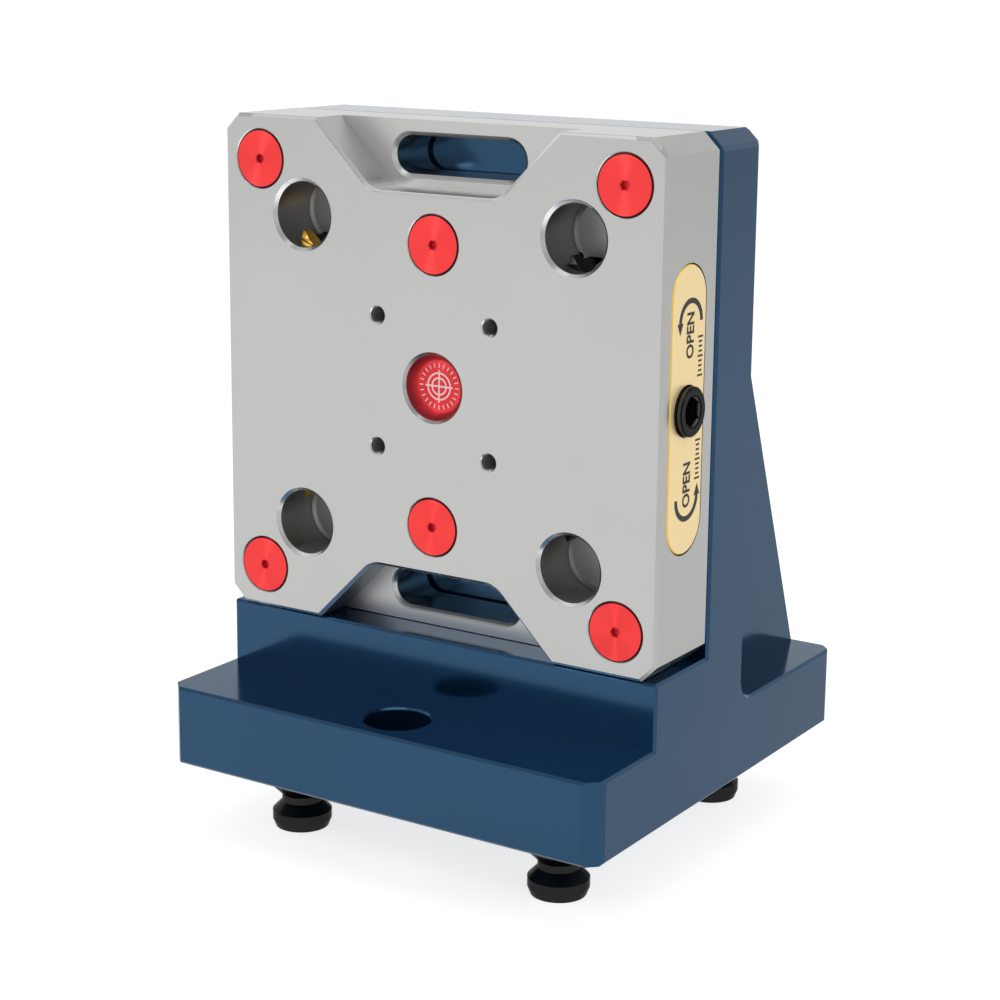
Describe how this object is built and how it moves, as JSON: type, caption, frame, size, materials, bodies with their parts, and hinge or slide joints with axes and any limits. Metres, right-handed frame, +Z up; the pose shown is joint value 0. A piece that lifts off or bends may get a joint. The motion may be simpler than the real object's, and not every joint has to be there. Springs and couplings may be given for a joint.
{
  "type": "modular fixture base",
  "caption": "Upright fixture base: ribbed angle body on pull studs, carrying a square receiver plate with clamping bores, capped screws and a side drive screw.",
  "frame": {"origin": "centre of the four pull studs on the underside of the slab", "axes": "+X to the right seen from the front, -Y out of the receiver plate's face, +Z up"},
  "size_m": [0.1573, 0.155, 0.224],
  "materials": {
    "blue_anodised": "satin blue anodised",
    "plate_steel": "ground and nickel plated, satin",
    "cover_steel": "ground",
    "ground_steel": "ground",
    "nut_steel": "hardened, plain",
    "black_steel": "black oxide",
    "stud_steel": "black oxide, polished",
    "black_jaw": "black oxide",
    "gold_jaw": "hard gold coating",
    "gold_brass": "satin",
    "bearing_bronze": "turned",
    "red_anodised": "bright red anodised",
    "seal_rubber": "matt"
  },
  "bodies": {
    "base": {"fixture_body": "blue_anodised", "receiver_plate": "plate_steel", "mechanism_cover": "cover_steel", "cover_screws": "black_steel", "screw_gland": "black_steel", "gland_seal": "seal_rubber", "thrust_washers": "bearing_bronze", "screw_end_bush": "bearing_bronze", "side_plaque": "gold_brass", "cap_upper_left": "red_anodised", "cap_upper_right": "red_anodised", "cap_lower_left": "red_anodised", "cap_lower_right": "red_anodised", "cap_upper_middle": "red_anodised", "cap_lower_middle": "red_anodised", "centre_cap": "red_anodised", "cap_seals": "seal_rubber", "plate_screws": "black_steel", "dowel_pins": "ground_steel", "pull_stud_front_left": "stud_steel", "pull_stud_front_right": "stud_steel", "pull_stud_rear_left": "stud_steel", "pull_stud_rear_right": "stud_steel"},
    "screw": {"actuating_screw": "black_steel"},
    "left_nut": {"wedge_nut_left": "nut_steel"},
    "right_nut": {"wedge_nut_right": "nut_steel"},
    "upper_left_jaw": {"jaw_upper_left": "gold_jaw"},
    "lower_left_jaw": {"jaw_lower_left": "gold_jaw"},
    "upper_right_jaw": {"jaw_upper_right": "black_jaw"},
    "lower_right_jaw": {"jaw_lower_right": "black_jaw"}
  },
  "joints": [
    {"name": "screw_turn", "type": "hinge", "parent": "base", "child": "screw", "pos_m": [0, -0.0312, 0.1227], "axis": [1, 0, 0], "range_deg": [0, 720]},
    {"name": "left_nut_slide", "type": "slide", "parent": "base", "child": "left_nut", "axis": [-1, 0, 0], "range_m": [0, 0.006]},
    {"name": "right_nut_slide", "type": "slide", "parent": "base", "child": "right_nut", "axis": [1, 0, 0], "range_m": [0, 0.006]},
    {"name": "upper_left_jaw_slide", "type": "slide", "parent": "base", "child": "upper_left_jaw", "axis": [0, 0, -1], "range_m": [0, 0.00347]},
    {"name": "lower_left_jaw_slide", "type": "slide", "parent": "base", "child": "lower_left_jaw", "axis": [0, 0, 1], "range_m": [0, 0.00347]},
    {"name": "upper_right_jaw_slide", "type": "slide", "parent": "base", "child": "upper_right_jaw", "axis": [0, 0, -1], "range_m": [0, 0.00347]},
    {"name": "lower_right_jaw_slide", "type": "slide", "parent": "base", "child": "lower_right_jaw", "axis": [0, 0, 1], "range_m": [0, 0.00347]}
  ],
  "couplings": [
    {"joint": "screw_turn", "follows": "left_nut_slide", "rad_per_m": 2094.4},
    {"joint": "right_nut_slide", "follows": "left_nut_slide", "ratio": 1},
    {"joint": "upper_left_jaw_slide", "follows": "left_nut_slide", "ratio": 0.57735},
    {"joint": "lower_left_jaw_slide", "follows": "left_nut_slide", "ratio": 0.57735},
    {"joint": "upper_right_jaw_slide", "follows": "left_nut_slide", "ratio": 0.57735},
    {"joint": "lower_right_jaw_slide", "follows": "left_nut_slide", "ratio": 0.57735}
  ]
}
